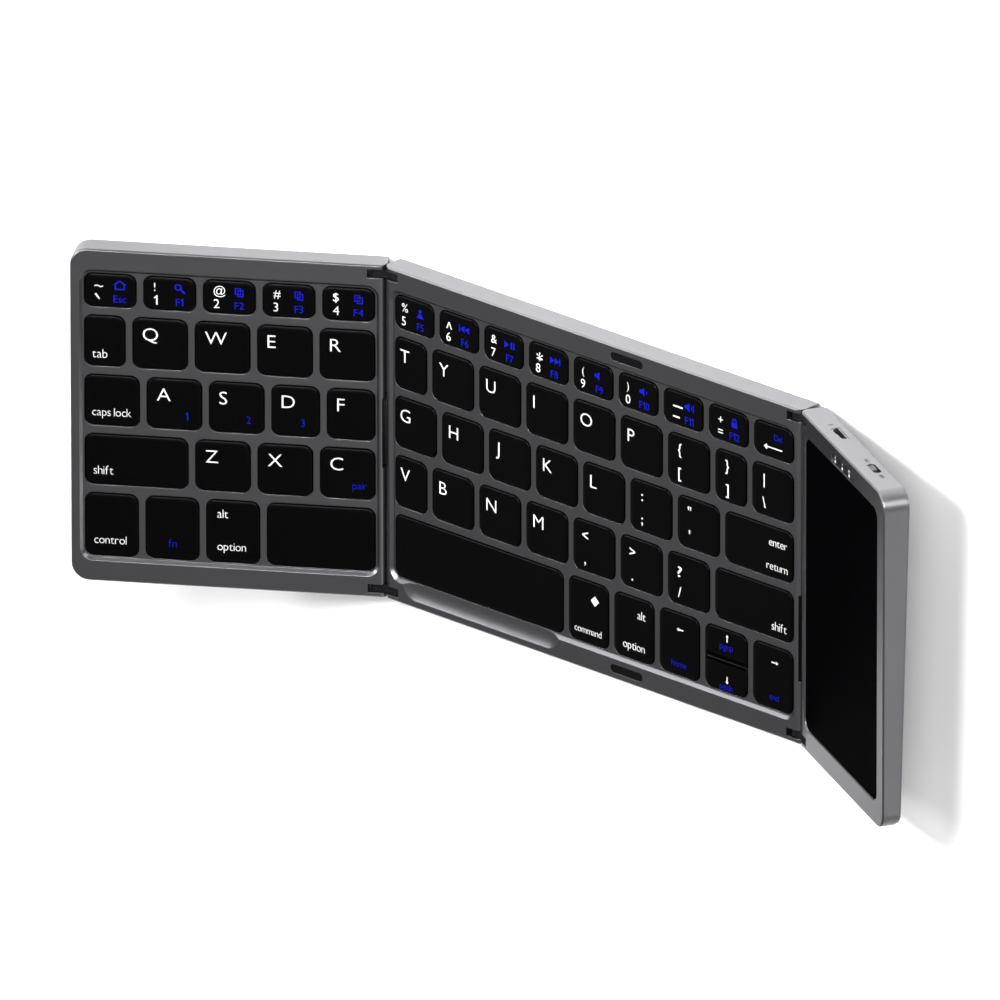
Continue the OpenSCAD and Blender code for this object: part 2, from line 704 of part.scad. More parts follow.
module slide_switch() color("gray") right_place() difference() {
    translate([switch_x - switch_w / 2 - switch_end, half_d - rear_wall - board_gap - switch_deep,
        main_z]) cube([switch_w + 2 * switch_end, switch_deep, switch_high]);
    translate([switch_x - switch_w / 2, half_d - rear_wall - stem_len - fit_gap,
        -switch_z - stem_h / 2 - fit_gap]) cube([switch_w, cut_up, stem_h + 2 * fit_gap]);
}

module switch_knob() color("lightgray") right_place() translate([knob_x, 0, -switch_z]) {
    translate([-knob_w / 2, half_d - rear_wall - fit_gap, -knob_h / 2])
        cube([knob_w, rear_wall - knob_sink + fit_gap, knob_h]);
    translate([-knob_w / 4, half_d - rear_wall - stem_len, -stem_h / 2])
        cube([knob_w / 2, stem_len, stem_h]);
}

module battery() color("silver") right_place() at_underside()
    translate([battery_x, battery_y, cover_t])
        bevel_block(battery_w, battery_d, battery_t, battery_r, battery_bevel);

middle_frame();
middle_cover();
middle_feet();
middle_screws();
middle_key_plate();
middle_membrane();
middle_domes();
middle_hinge_pins();
seam_inserts();
seam_magnets();
middle_number_keys();
middle_top_keys();
middle_home_keys();
enter_key();
middle_bottom_keys();
right_shift_key();
space_bar();
middle_modifier_keys();
arrow_left_key();
arrow_up_key();
arrow_down_key();
arrow_right_key();
left_rear_link();
left_front_link();
left_flex();
left_frame();
left_cover();
left_feet();
left_screws();
left_key_plate();
left_membrane();
left_domes();
left_hinge_pins();
left_number_keys();
left_top_keys();
left_home_keys();
left_shift_key();
left_bottom_keys();
left_modifier_keys();
left_space_key();
right_rear_link();
right_front_link();
right_flex();
right_frame();
right_cover();
right_feet();
right_screws();
right_hinge_pins();
touchpad_glass();
touchpad_board();
indicator_lens();
indicator_lights();
main_board();
charging_socket();
slide_switch();
switch_knob();
battery();
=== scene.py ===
"""Folding keyboard with a touchpad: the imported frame, dressed and lit."""
import bpy
import bmesh
import math
from mathutils import Matrix, Vector


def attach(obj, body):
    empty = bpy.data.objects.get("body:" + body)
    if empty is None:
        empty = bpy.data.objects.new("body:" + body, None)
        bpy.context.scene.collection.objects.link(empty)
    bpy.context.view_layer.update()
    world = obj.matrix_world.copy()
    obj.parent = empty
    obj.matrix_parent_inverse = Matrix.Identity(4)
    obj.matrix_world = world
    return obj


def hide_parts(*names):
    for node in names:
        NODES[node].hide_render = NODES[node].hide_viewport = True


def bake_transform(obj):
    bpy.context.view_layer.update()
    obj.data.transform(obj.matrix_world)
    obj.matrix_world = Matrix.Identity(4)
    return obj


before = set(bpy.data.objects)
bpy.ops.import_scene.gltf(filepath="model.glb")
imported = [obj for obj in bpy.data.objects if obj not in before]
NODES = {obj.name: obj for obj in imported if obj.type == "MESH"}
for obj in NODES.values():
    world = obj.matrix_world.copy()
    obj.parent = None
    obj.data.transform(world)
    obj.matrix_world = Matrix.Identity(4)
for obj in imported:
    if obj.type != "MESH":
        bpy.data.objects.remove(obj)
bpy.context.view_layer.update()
MM = 0.001

# ---- sizes of the keyboard, in millimetres ----

PANEL_D, MIDDLE_W, LEFT_W, RIGHT_W = 98, 152, 87, 64
REAR_T, FRONT_T, FOOT_H = 7.7, 5.2, 0.8
PIN_INSET, PIN_DEPTH, FLAT_GAP = 3.2, 2.4, 0.4
LEFT_FOLD, RIGHT_FOLD = 33.4, 27.8
MIDDLE_KEYS_W, LEFT_KEYS_W, LEFT_MARGIN = 145.4, 80.4, 3.6
LETTER_W = 15.45
ROW_D = [10.2, 15.3, 15.3, 15.3, 18.8]
WEB_X, WEB_Y = 1.75, 2.2
WINDOW_R, KEY_GAP = 2.6, 0.3
KEY_TOP, KEY_H, KEY_TOP_T = -0.6, 1.6, 0.8

HALF_D, HALF_M = PANEL_D / 2, MIDDLE_W / 2
LINK_LEN = 2 * PIN_INSET + FLAT_GAP
MID_T = (REAR_T + FRONT_T) / 2
WEDGE = math.atan((REAR_T - FRONT_T) / PANEL_D)
STAND = MID_T * math.cos(WEDGE) + FOOT_H


def turn(degrees, axis):
    """A rotation about an axis through the origin."""
    return Matrix.Rotation(math.radians(degrees), 4, axis)


# each panel's frame: x to the right, y to the rear, z = 0 on its top face
MIDDLE = Matrix.Translation((0, 0, STAND)) @ Matrix.Rotation(WEDGE, 4, "X")


def outer_panel(side, fold):
    """The frame of an outer panel, x = 0 on its hinge side."""
    half_turn = turn(-side * fold / 2, "Y")
    link = Matrix.Translation((side * (HALF_M - PIN_INSET), 0, -PIN_DEPTH)) @ half_turn
    wing = Matrix.Translation((side * LINK_LEN, 0, 0)) @ half_turn
    return MIDDLE @ link @ wing @ Matrix.Translation((-side * PIN_INSET, 0, PIN_DEPTH))


LEFT = outer_panel(-1, LEFT_FOLD)
RIGHT = outer_panel(1, RIGHT_FOLD)

# ---- camera ----

# place in millimetres and directions, all in the middle panel's frame
CAMERA_AT = Vector((6623.13, 4198.93, 7363.72))
CAMERA_RIGHT = Vector((0.74212, -0.00103, -0.67026))
CAMERA_UP = Vector((-0.26085, 0.92072, -0.29022))
CAMERA_BACK = Vector((0.61742, 0.39022, 0.68302))
# millimetres, then the nearest and the farthest distance seen, in metres
SENSOR_W, LENS, NEAREST, FARTHEST = 36, 1429.05, 1, 60


def place_camera():
    """The view was solved against the middle panel's top face, so it is placed in that frame."""
    data = bpy.data.cameras.new("camera")
    data.sensor_width = SENSOR_W
    data.lens = LENS
    data.clip_start = NEAREST
    data.clip_end = FARTHEST
    camera = bpy.data.objects.new("camera", data)
    bpy.context.scene.collection.objects.link(camera)
    seat = Matrix.Identity(4)
    for column, axis in enumerate((CAMERA_RIGHT, CAMERA_UP, CAMERA_BACK)):
        seat.col[column].xyz = axis
    world = MIDDLE @ Matrix.Translation(CAMERA_AT) @ seat
    world.translation = world.translation * MM
    camera.matrix_world = world
    bpy.context.scene.camera = camera
    bpy.context.scene.view_settings.view_transform = "Standard"


place_camera()

# ---- materials ----


def add_node(tree, kind, **settings):
    """A new node; a setting's name is a property's, or an input's with its spaces as underscores."""
    n = tree.nodes.new("ShaderNode" + kind)
    for name, value in settings.items():
        key = name.replace("_", " ")
        socket = next((i for i in n.inputs if i.name.lower() == key.lower() and i.enabled), None)
        if hasattr(n, name) and not socket:
            setattr(n, name, value)
        else:
            socket.default_value = value
    return n


def new_group(name, inputs, outputs):
    tree = bpy.data.node_groups.new(name, "ShaderNodeTree")
    kinds = {"v": "NodeSocketFloat", "c": "NodeSocketColor", "n": "NodeSocketVector"}
    for direction, sockets in (("INPUT", inputs), ("OUTPUT", outputs)):
        for label, kind, value in sockets:
            s = tree.interface.new_socket(label, in_out=direction, socket_type=kinds[kind])
            if value is not None:
                s.default_value = value
    return tree, tree.nodes.new("NodeGroupInput"), tree.nodes.new("NodeGroupOutput")


def fine_grain_group():
    """Blasted or moulded grain: a height, a slow cloud of tone and a matching change of roughness."""
    tree, gi, go = new_group(
        "fine_grain",
        [("Grain Size mm", "v", 0.2), ("Cloud Size mm", "v", 18.0), ("Base Color", "c", (0.1, 0.1, 0.1, 1)),
         ("Tone Spread", "v", 0.08), ("Roughness", "v", 0.45), ("Roughness Spread", "v", 0.08)],
        [("Color", "c", None), ("Roughness", "v", None), ("Height", "v", None)])
    link = tree.links.new
    coords = add_node(tree, "TexCoord")
    noises = {}
    for label in ("Grain", "Cloud"):
        per_m = add_node(tree, "Math", operation="DIVIDE")
        per_m.inputs[0].default_value = 1000
        link(gi.outputs[label + " Size mm"], per_m.inputs[1])
        noise = add_node(tree, "TexNoise", Detail=3.0 if label == "Grain" else 2.0, Roughness=0.6)
        link(coords.outputs["Object"], noise.inputs["Vector"])
        link(per_m.outputs[0], noise.inputs["Scale"])
        noises[label] = noise
    spread = add_node(tree, "Math", operation="MULTIPLY_ADD")
    link(noises["Cloud"].outputs["Fac"], spread.inputs[0])
    double = add_node(tree, "Math", operation="MULTIPLY")
    double.inputs[1].default_value = 2
    link(gi.outputs["Tone Spread"], double.inputs[0])
    link(double.outputs[0], spread.inputs[1])
    base = add_node(tree, "Math", operation="SUBTRACT")
    base.inputs[0].default_value = 1
    link(gi.outputs["Tone Spread"], base.inputs[1])
    link(base.outputs[0], spread.inputs[2])
    tone = add_node(tree, "VectorMath", operation="SCALE")
    link(gi.outputs["Base Color"], tone.inputs[0])
    link(spread.outputs[0], tone.inputs["Scale"])
    link(tone.outputs[0], go.inputs["Color"])
    centred = add_node(tree, "Math", operation="SUBTRACT")
    centred.inputs[1].default_value = 0.5
    link(noises["Grain"].outputs["Fac"], centred.inputs[0])
    rough = add_node(tree, "Math", operation="MULTIPLY_ADD")
    link(centred.outputs[0], rough.inputs[0])
    link(gi.outputs["Roughness Spread"], rough.inputs[1])
    link(gi.outputs["Roughness"], rough.inputs[2])
    link(rough.outputs[0], go.inputs["Roughness"])
    link(noises["Grain"].outputs["Fac"], go.inputs["Height"])
    return tree


FINE_GRAIN = fine_grain_group()
CLOUD = 18.0


def finish(name, color, roughness, metallic=0.0, grain=0.2, bump=0.02, tone=0.06, spread=0.08, edge=0.0,
           specular=0.5):
    """A material: fine grain in colour, roughness and bump, with softened edges where edge is set."""
    m = bpy.data.materials.new(name)
    m.use_nodes = True
    tree = m.node_tree
    shader = tree.nodes["Principled BSDF"]
    link = tree.links.new
    g = tree.nodes.new("ShaderNodeGroup")
    g.node_tree = FINE_GRAIN
    g.inputs["Grain Size mm"].default_value = grain
    g.inputs["Cloud Size mm"].default_value = CLOUD
    g.inputs["Base Color"].default_value = (*color, 1)
    g.inputs["Tone Spread"].default_value = tone
    g.inputs["Roughness"].default_value = roughness
    g.inputs["Roughness Spread"].default_value = spread
    link(g.outputs["Color"], shader.inputs["Base Color"])
    link(g.outputs["Roughness"], shader.inputs["Roughness"])
    shader.inputs["Metallic"].default_value = metallic
    shader.inputs["Specular IOR Level"].default_value = specular
    relief = add_node(tree, "Bump", Strength=0.6, Distance=bump * MM)
    link(g.outputs["Height"], relief.inputs["Height"])
    if edge:
        soft = add_node(tree, "Bevel", Radius=edge * MM)
        soft.samples = 8
        link(soft.outputs["Normal"], relief.inputs["Normal"])
    link(relief.outputs["Normal"], shader.inputs["Normal"])
    return m


ANODISED = finish("anodised_metal", (0.16, 0.16, 0.168), 0.32, metallic=1.0, grain=0.12, bump=0.012,
                  edge=0.12)
COVER_METAL = finish("cover_metal", (0.15, 0.15, 0.157), 0.36, metallic=1.0, grain=0.12, bump=0.012,
                     edge=0.12)
KEY_PLASTIC = finish("key_plastic", (0.0007, 0.0007, 0.0008), 0.28, grain=0.09, bump=0.004, spread=0.1,
                     tone=0.2, specular=0.06)
FOOT_RUBBER = finish("foot_rubber", (0.02, 0.02, 0.02), 0.8, grain=0.3, bump=0.03)
SCREW_STEEL = finish("screw_steel", (0.1, 0.1, 0.105), 0.35, metallic=1.0, grain=0.1, bump=0.004)
PIN_STEEL = finish("pin_steel", (0.55, 0.55, 0.57), 0.28, metallic=1.0, grain=0.1, bump=0.003)
LINK_METAL = finish("link_metal", (0.005, 0.005, 0.005), 0.35, grain=0.15, bump=0.01, edge=0.2,
                    specular=0.12)
INSERT_PLASTIC = finish("insert_plastic", (0.002, 0.002, 0.002), 0.45, grain=0.15, bump=0.008,
                        specular=0.08)
PAD_GLASS = finish("pad_glass", (0.0007, 0.0007, 0.0009), 0.38, grain=0.06, bump=0.003, tone=0.15,
                   specular=0.0005)
LENS_PLASTIC = finish("lens_plastic", (0.008, 0.008, 0.009), 0.15, grain=0.3, bump=0.002)
RIBBON_RUBBER = finish("ribbon_rubber", (0.003, 0.003, 0.003), 0.55, grain=0.2, bump=0.02, specular=0.12)
PLATE_STEEL = finish("plate_steel", (0.5, 0.51, 0.53), 0.35, metallic=1.0, grain=0.1, bump=0.004)
MEMBRANE_FILM = finish("membrane_film", (0.004, 0.004, 0.004), 0.5, grain=0.5, bump=0.004, specular=0.1)
DOME_RUBBER = finish("dome_rubber", (0.6, 0.61, 0.6), 0.5, grain=0.3, bump=0.01)
BOARD = finish("board", (0.01, 0.07, 0.03), 0.35, grain=0.4, bump=0.01)
SOCKET_STEEL = finish("socket_steel", (0.2, 0.2, 0.21), 0.35, metallic=1.0, grain=0.1, bump=0.003)
SWITCH_BODY = finish("switch_body", (0.004, 0.004, 0.004), 0.5, grain=0.2, bump=0.01, specular=0.1)
KNOB_PLASTIC = finish("knob_plastic", (0.03, 0.03, 0.031), 0.45, grain=0.15, bump=0.006)
BATTERY_FOIL = finish("battery_foil", (0.5, 0.51, 0.53), 0.35, metallic=0.9, grain=1.5, bump=0.02)
LIGHT_PIPE = finish("light_pipe", (0.7, 0.72, 0.75), 0.2, grain=0.3, bump=0.002)
WHITE_INK = finish("white_ink", (0.62, 0.62, 0.62), 0.5, grain=0.2, bump=0.002)
BLUE_INK = finish("blue_ink", (0.003, 0.004, 0.25), 0.5, grain=0.2, bump=0.002, specular=0.1)
DARK_INK = finish("dark_ink", (0.03, 0.03, 0.032), 0.5, grain=0.2, bump=0.002)
GREY_INK = finish("grey_ink", (0.3, 0.3, 0.31), 0.5, grain=0.2, bump=0.002)

# the finish of each CAD node, by the ending of its name
CAD_FINISH = {
    "_frame": ANODISED, "_cover": COVER_METAL, "_feet": FOOT_RUBBER, "_screws": SCREW_STEEL,
    "_key_plate": PLATE_STEEL, "_membrane": MEMBRANE_FILM, "_domes": DOME_RUBBER,
    "_hinge_pins": PIN_STEEL, "seam_inserts": INSERT_PLASTIC, "seam_magnets": PIN_STEEL,
    "_link": LINK_METAL, "_flex": RIBBON_RUBBER, "touchpad_glass": PAD_GLASS,
    "_board": BOARD, "indicator_lens": LENS_PLASTIC, "indicator_lights": LIGHT_PIPE,
    "charging_socket": SOCKET_STEEL, "slide_switch": SWITCH_BODY, "switch_knob": KNOB_PLASTIC,
    "battery": BATTERY_FOIL, "_key": KEY_PLASTIC, "_keys": KEY_PLASTIC, "space_bar": KEY_PLASTIC,
}
for node_name, cad in NODES.items():
    found = next(m for ending, m in CAD_FINISH.items() if node_name.endswith(ending))
    for place in cad.material_slots:
        place.material = found

# ---- making pieces ----


def new_piece(name, bm, place, material, body, replaced=(), smooth=40):
    """A finished piece: a mesh in millimetres in a panel's frame, moved into the keyboard's own frame."""
    mesh = bpy.data.meshes.new(name)
    bmesh.ops.transform(bm, matrix=Matrix.Scale(MM, 4) @ place, verts=bm.verts)
    bm.to_mesh(mesh)
    bm.free()
    mesh.materials.append(material)
    piece = bpy.data.objects.new(name, mesh)
    bpy.context.scene.collection.objects.link(piece)
    if smooth:
        mesh.shade_smooth()
        mesh.set_sharp_from_angle(angle=math.radians(smooth))
    if body:
        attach(piece, body)
    if replaced:
        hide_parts(*replaced)
    return piece


def rounded_plate(bm, x, y, w, d, front_r, rear_r, z, segments=8):
    """One face with round corners, w by d, at height z."""
    before = set(bm.faces)
    verts = bmesh.ops.create_grid(bm, x_segments=1, y_segments=1, size=0.5)["verts"]
    bmesh.ops.scale(bm, vec=(w, d, 1), verts=verts)
    bmesh.ops.translate(bm, vec=(x, y, z), verts=verts)
    front = [v for v in verts if v.co.y < y]
    rear = [v for v in verts if v.co.y > y]
    for corners, r in ((front, front_r), (rear, rear_r)):
        bmesh.ops.bevel(bm, geom=corners, offset=r, affect="VERTICES", segments=segments, profile=0.5,
                        material=-1)
    return next(f for f in bm.faces if f not in before)


def step(bm, face, inset, rise):
    """Draws a face in and moves it along z."""
    bmesh.ops.inset_region(bm, faces=[face], thickness=inset, depth=0)
    bmesh.ops.translate(bm, vec=(0, 0, rise), verts=face.verts)


def raised_face(bm, face, rise):
    """A closed prism from one face; returns the moved face."""
    moved = bmesh.ops.extrude_face_region(bm, geom=[face])
    top = next(f for f in moved["geom"] if isinstance(f, bmesh.types.BMFace))
    bmesh.ops.translate(bm, vec=(0, 0, rise), verts=top.verts)
    return top


# rise and inset of each step from a keycap's straight side to its flat top
CAP_STEPS = [(0.1, 0.06), (0.08, 0.12), (0.06, 0.85), (0.0, 0.06)]
CAP_WALL, HOLLOW_DRAFT = 1.0, 0.05
# fall of the front half key's slope for each millimetre towards the rear, and how deep it takes hold
SLOPE, SLOPE_REACH = 0.22, 0.4


def hollow_below(bm, faces):
    """Sinks the hollow into the underside of a keycap."""
    base = KEY_TOP - KEY_H + 0.01
    under = max((f for f in faces if all(v.co.z < base for v in f.verts)), key=lambda f: f.calc_area())
    bmesh.ops.inset_region(bm, faces=[under], thickness=CAP_WALL, depth=0)
    bmesh.ops.inset_region(bm, faces=[under], thickness=HOLLOW_DRAFT, depth=-(KEY_H - KEY_TOP_T))


def slope_rear(bm, faces, edge):
    """Lets the top of a keycap fall towards the rear from y = edge on."""
    others = set(bm.faces) - set(faces)
    parts = {e for f in faces for e in f.edges} | {v for f in faces for v in f.verts} | set(faces)
    bmesh.ops.bisect_plane(bm, geom=list(parts), plane_co=(0, edge, 0), plane_no=(0, 1, 0))
    for v in {v for f in bm.faces if f not in others for v in f.verts}:
        if v.co.y > edge and v.co.z > KEY_TOP - SLOPE_REACH:
            v.co.z -= SLOPE * (v.co.y - edge)


def keycap(bm, x, y, w, d, front_r=WINDOW_R, rear_r=WINDOW_R, slope=0.0):
    """A keycap for a window of w by d: a broad shallow edge, a hollow below, and a rear slope if asked."""
    before = set(bm.faces)
    floor = rounded_plate(bm, x, y, w - 2 * KEY_GAP, d - 2 * KEY_GAP, front_r - KEY_GAP, rear_r - KEY_GAP,
                          KEY_TOP - KEY_H)
    top = raised_face(bm, floor, KEY_H - sum(rise for rise, _ in CAP_STEPS))
    for rise, inset in CAP_STEPS:
        step(bm, top, inset, rise)
    made = [f for f in bm.faces if f not in before]
    bmesh.ops.recalc_face_normals(bm, faces=made)
    hollow_below(bm, made)
    if slope:
        slope_rear(bm, [f for f in bm.faces if f not in before], y + d / 2 - slope)


def row_y(row):
    """The y of the middle of a key row, counted from the rear."""
    total = sum(ROW_D) + 4 * WEB_Y
    return total / 2 - ROW_D[row] / 2 - sum(ROW_D[:row]) - row * WEB_Y


def fill(widths, total):
    """Window widths with one more at the end, which takes what is left."""
    return widths + [total - sum(widths) - len(widths) * WEB_X]


def equal(count, total):
    """The widths of count equal windows."""
    return [(total - (count - 1) * WEB_X) / count] * count


SPLIT_W, LAST_SPLIT_W = 11.9, 11.6
SPACE_BAR_W, MODIFIER_W, ARROW_PAIR_W, LEFT_MODIFIER_W = 61.85, 14.8, 15.6, 15
MIDDLE_ROWS = [
    equal(9, MIDDLE_KEYS_W),
    fill([SPLIT_W] + [LETTER_W] * 6 + [LAST_SPLIT_W], MIDDLE_KEYS_W),
    fill([LETTER_W] * 7, MIDDLE_KEYS_W),
    fill([SPLIT_W] + [LETTER_W] * 6, MIDDLE_KEYS_W),
    fill([SPACE_BAR_W] + [MODIFIER_W] * 3 + [ARROW_PAIR_W], MIDDLE_KEYS_W)]
LEFT_ROWS = [
    equal(5, LEFT_KEYS_W),
    [LEFT_KEYS_W - 4 * (LETTER_W + WEB_X)] + [LETTER_W] * 4,
    [LETTER_W] * 3 + [(LEFT_KEYS_W - 3 * LETTER_W - 4 * WEB_X) / 2] * 2,
    [LEFT_KEYS_W - 3 * (LETTER_W + WEB_X)] + [LETTER_W] * 3,
    fill([LEFT_MODIFIER_W] * 3, LEFT_KEYS_W)]
# panel: its frame, its rows of windows and the x where they start
PANELS = {"middle": (MIDDLE, MIDDLE_ROWS, -MIDDLE_KEYS_W / 2),
          "left": (LEFT, LEFT_ROWS, -LEFT_W + LEFT_MARGIN)}
# node: panel, row, first window, last window
KEY_NODES = {
    "middle_number_keys": ("middle", 0, 0, 8), "middle_top_keys": ("middle", 1, 0, 8),
    "middle_home_keys": ("middle", 2, 0, 6), "enter_key": ("middle", 2, 7, 7),
    "middle_bottom_keys": ("middle", 3, 0, 6), "right_shift_key": ("middle", 3, 7, 7),
    "space_bar": ("middle", 4, 0, 0), "middle_modifier_keys": ("middle", 4, 1, 2),
    "arrow_left_key": ("middle", 4, 3, 3), "arrow_right_key": ("middle", 4, 5, 5),
    "left_number_keys": ("left", 0, 0, 4), "left_top_keys": ("left", 1, 0, 4),
    "left_home_keys": ("left", 2, 0, 4), "left_shift_key": ("left", 3, 0, 0),
    "left_bottom_keys": ("left", 3, 1, 3), "left_modifier_keys": ("left", 4, 0, 2),
    "left_space_key": ("left", 4, 3, 3)}


def window(panel, row, i):
    """Middle x, middle y, width and depth of a key's window."""
    _, rows, x0 = PANELS[panel]
    widths = rows[row]
    return x0 + sum(widths[:i]) + i * WEB_X + widths[i] / 2, row_y(row), widths[i], ROW_D[row]


for node_name, (panel, row, a, b) in KEY_NODES.items():
    bm = bmesh.new()
    for i in range(a, b + 1):
        keycap(bm, *window(panel, row, i))
    new_piece(node_name + "_caps", bm, PANELS[panel][0], KEY_PLASTIC, node_name, [node_name])

# two half keys share a window: square where they meet, and the front one slopes there
ARROW_X, ARROW_Y, ARROW_W, ARROW_D = window("middle", 4, 4)
HALF_KEY_Y, HALF_KEY_D = (ARROW_D - KEY_GAP) / 4, (ARROW_D + KEY_GAP) / 2
MEETING_R, SLOPE_D = 0.6, 3.0
# node: its side of the window, front and rear corner radius, depth of the slope
HALF_KEYS = {"arrow_up_key": (1, MEETING_R, WINDOW_R, 0),
             "arrow_down_key": (-1, WINDOW_R, MEETING_R, SLOPE_D)}
for node_name, (side, front_r, rear_r, slope) in HALF_KEYS.items():
    bm = bmesh.new()
    keycap(bm, ARROW_X, ARROW_Y + side * HALF_KEY_Y, ARROW_W, HALF_KEY_D, front_r, rear_r, slope)
    new_piece(node_name + "_cap", bm, MIDDLE, KEY_PLASTIC, node_name, [node_name])

# ---- rubber domes, one set per key node, pressed flat by their keys ----

MEMBRANE_Z, DOME_TOP_Z, DOME_R, DOME_TOP_R = -3.75, -1.45, 2.6, 1.3
TWO_DOMES_OVER = 1.5 * LETTER_W


def dome(bm, x, y):
    """A cone that stands on the membrane and ends in a flat top under the key."""
    seat = Matrix.Translation((x, y, (MEMBRANE_Z + DOME_TOP_Z) / 2))
    bmesh.ops.create_cone(bm, cap_ends=True, segments=20, radius1=DOME_R, radius2=DOME_TOP_R,
                          depth=DOME_TOP_Z - MEMBRANE_Z, matrix=seat)


def dome_places(node_name):
    """The panel of a key node and the middles of its domes: one under a key, two under a long one."""
    if node_name in HALF_KEYS:
        return "middle", [(ARROW_X, ARROW_Y + HALF_KEYS[node_name][0] * HALF_KEY_Y)]
    panel, row, a, b = KEY_NODES[node_name]
    places = []
    for i in range(a, b + 1):
        x, y, w, _ = window(panel, row, i)
        places += [(x - w / 4, y), (x + w / 4, y)] if w > TWO_DOMES_OVER else [(x, y)]
    return panel, places


for node_name in [*KEY_NODES, *HALF_KEYS]:
    panel, places = dome_places(node_name)
    bm = bmesh.new()
    for x, y in places:
        dome(bm, x, y)
    frame_of = PANELS[panel][0]
    piece = new_piece(node_name + "_domes", bm, frame_of, DOME_RUBBER, None, [panel + "_domes"])
    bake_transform(piece)

# ---- legends ----

INK_T, INK_LIFT = 0.08, 0.02
# a capital's height as a share of the font's size; the other two in units of the cap height
CAP_SHARE, GLYPH_GAP, SPACE_W = 0.729, 0.1, 0.2
# signs that are drawn here, as corners in units of the cap height
DRAWN = {"1": [(0.2, 0), (0.34, 0), (0.34, 1), (0.24, 1), (0.17, 0.87), (0, 0.78), (0, 0.66), (0.2, 0.75)],
         "`": [(0, 0.78), (0.18, 0.86), (0.56, 0.28), (0.44, 0.22)],
         "-": [(0, 0.3), (0.87, 0.3), (0.87, 0.45), (0, 0.45)],
         "_": [(0, 0), (1.3, 0), (1.3, 0.16), (0, 0.16)],
         " ": []}


def add_shape(bm, points, z=KEY_TOP):
    """A flat closed shape from its corners, raised as the letters are."""
    verts = [bm.verts.new((x, y, z + INK_LIFT - INK_T / 2)) for x, y in points]
    face = bm.faces.new(verts)
    if face.normal.z > 0:
        face.normal_flip()
    raised_face(bm, face, INK_T)


def add_ring(bm, x, y, inner, outer, z=KEY_TOP):
    """A flat ring, raised as the letters are."""
    profile = [bm.verts.new((x + r, y, z + INK_LIFT + h * INK_T / 2))
               for r, h in ((inner, -1), (outer, -1), (outer, 1), (inner, 1))]
    edges = [bm.edges.new((profile[k], profile[(k + 1) % 4])) for k in range(4)]
    bmesh.ops.spin(bm, geom=profile + edges, cent=(x, y, 0), axis=(0, 0, 1), angle=2 * math.pi, steps=16,
                   use_merge=True)


def glyph_mesh(sign, bold):
    """One sign as a closed mesh, one unit of cap height tall, on the baseline."""
    if sign in DRAWN:
        bm = bmesh.new()
        if DRAWN[sign]:
            add_shape(bm, DRAWN[sign], -INK_LIFT)
        mesh = bpy.data.meshes.new("sign")
        bm.to_mesh(mesh)
        bm.free()
        return mesh
    curve = bpy.data.curves.new("sign", "FONT")
    curve.body = sign
    curve.size = 1 / CAP_SHARE
    curve.offset = bold
    curve.extrude = INK_T / 2
    curve.resolution_u = 3
    maker = bpy.data.objects.new("sign", curve)
    bpy.context.scene.collection.objects.link(maker)
    mesh = bpy.data.meshes.new_from_object(maker)
    bpy.data.objects.remove(maker)
    bpy.data.curves.remove(curve)
    return mesh


def add_text(bm, text, x, y, high, anchor="left", wide=1.0, bold=-0.004, z=KEY_TOP):
    """Text of a cap height, its baseline at y and its left edge, middle or right edge at x."""
    meshes = [glyph_mesh(sign, bold) for sign in text]
    starts, at = [], 0
    for mesh in meshes:
        xs = [v.co.x for v in mesh.vertices] or [0, SPACE_W]
        starts.append(at - min(xs))
        at += max(xs) - min(xs) + GLYPH_GAP
    shift = {"left": 0, "middle": 0.5, "right": 1}[anchor] * (at - GLYPH_GAP)
    for mesh, start in zip(meshes, starts):
        mesh.transform(Matrix.Translation((x, y, z + INK_LIFT)) @ Matrix.Diagonal((high * wide, high, 1, 1))
                       @ Matrix.Translation((start - shift, 0, 0)))
        bm.from_mesh(mesh)
        bpy.data.meshes.remove(mesh)


# ---- corners of the drawn marks, in millimetres ----


def polygon(x, y, r, corners):
    """The corners of a regular polygon."""
    angles = [2 * math.pi * k / corners for k in range(corners)]
    return [(x + r * math.cos(a), y + r * math.sin(a)) for a in angles]


def bar(x0, x1, y0=-1.0, y1=1.0):
    """The corners of a rectangle."""
    return [(x0, y0), (x1, y0), (x1, y1), (x0, y1)]


def sheet_outline(x, y, w=1.7, d=2.0, line=0.28):
    """The four bars of a thin rectangular outline."""
    x0, x1, y0, y1 = x - w / 2, x + w / 2, y - d / 2, y + d / 2
    return [bar(x0, x1, y1 - line, y1), bar(x0, x1, y0, y0 + line),
            bar(x0, x0 + line, y0 + line, y1 - line), bar(x1 - line, x1, y0 + line, y1 - line)]


def sound_wave(k):
    """The corners of the wave number k in front of a loudspeaker."""
    a = 0.5 + 0.65 * k
    return [(a, -a), (a + 0.35, -a), (a + 0.6, 0), (a + 0.35, a), (a, a), (a + 0.25, 0)]


def mirrored(points):
    """The same corners on the other side of the mark's middle."""
    return [(-x, y) for x, y in points]


ARROW_LINE, HEAD_SPREAD = 0.3, 0.75


def arrow_shape(x, y, length, angle, head):
    """The corners of an arrow that points along angle, centred on x, y."""
    h, t, wing = length / 2, ARROW_LINE / 2, head * HEAD_SPREAD
    outline = [(-h, -t), (h - head, -t), (h - head, -wing), (h, 0), (h - head, wing), (h - head, t), (-h, t)]
    c, s = math.cos(math.radians(angle)), math.sin(math.radians(angle))
    return [(x + c * px - s * py, y + s * px + c * py) for px, py in outline]


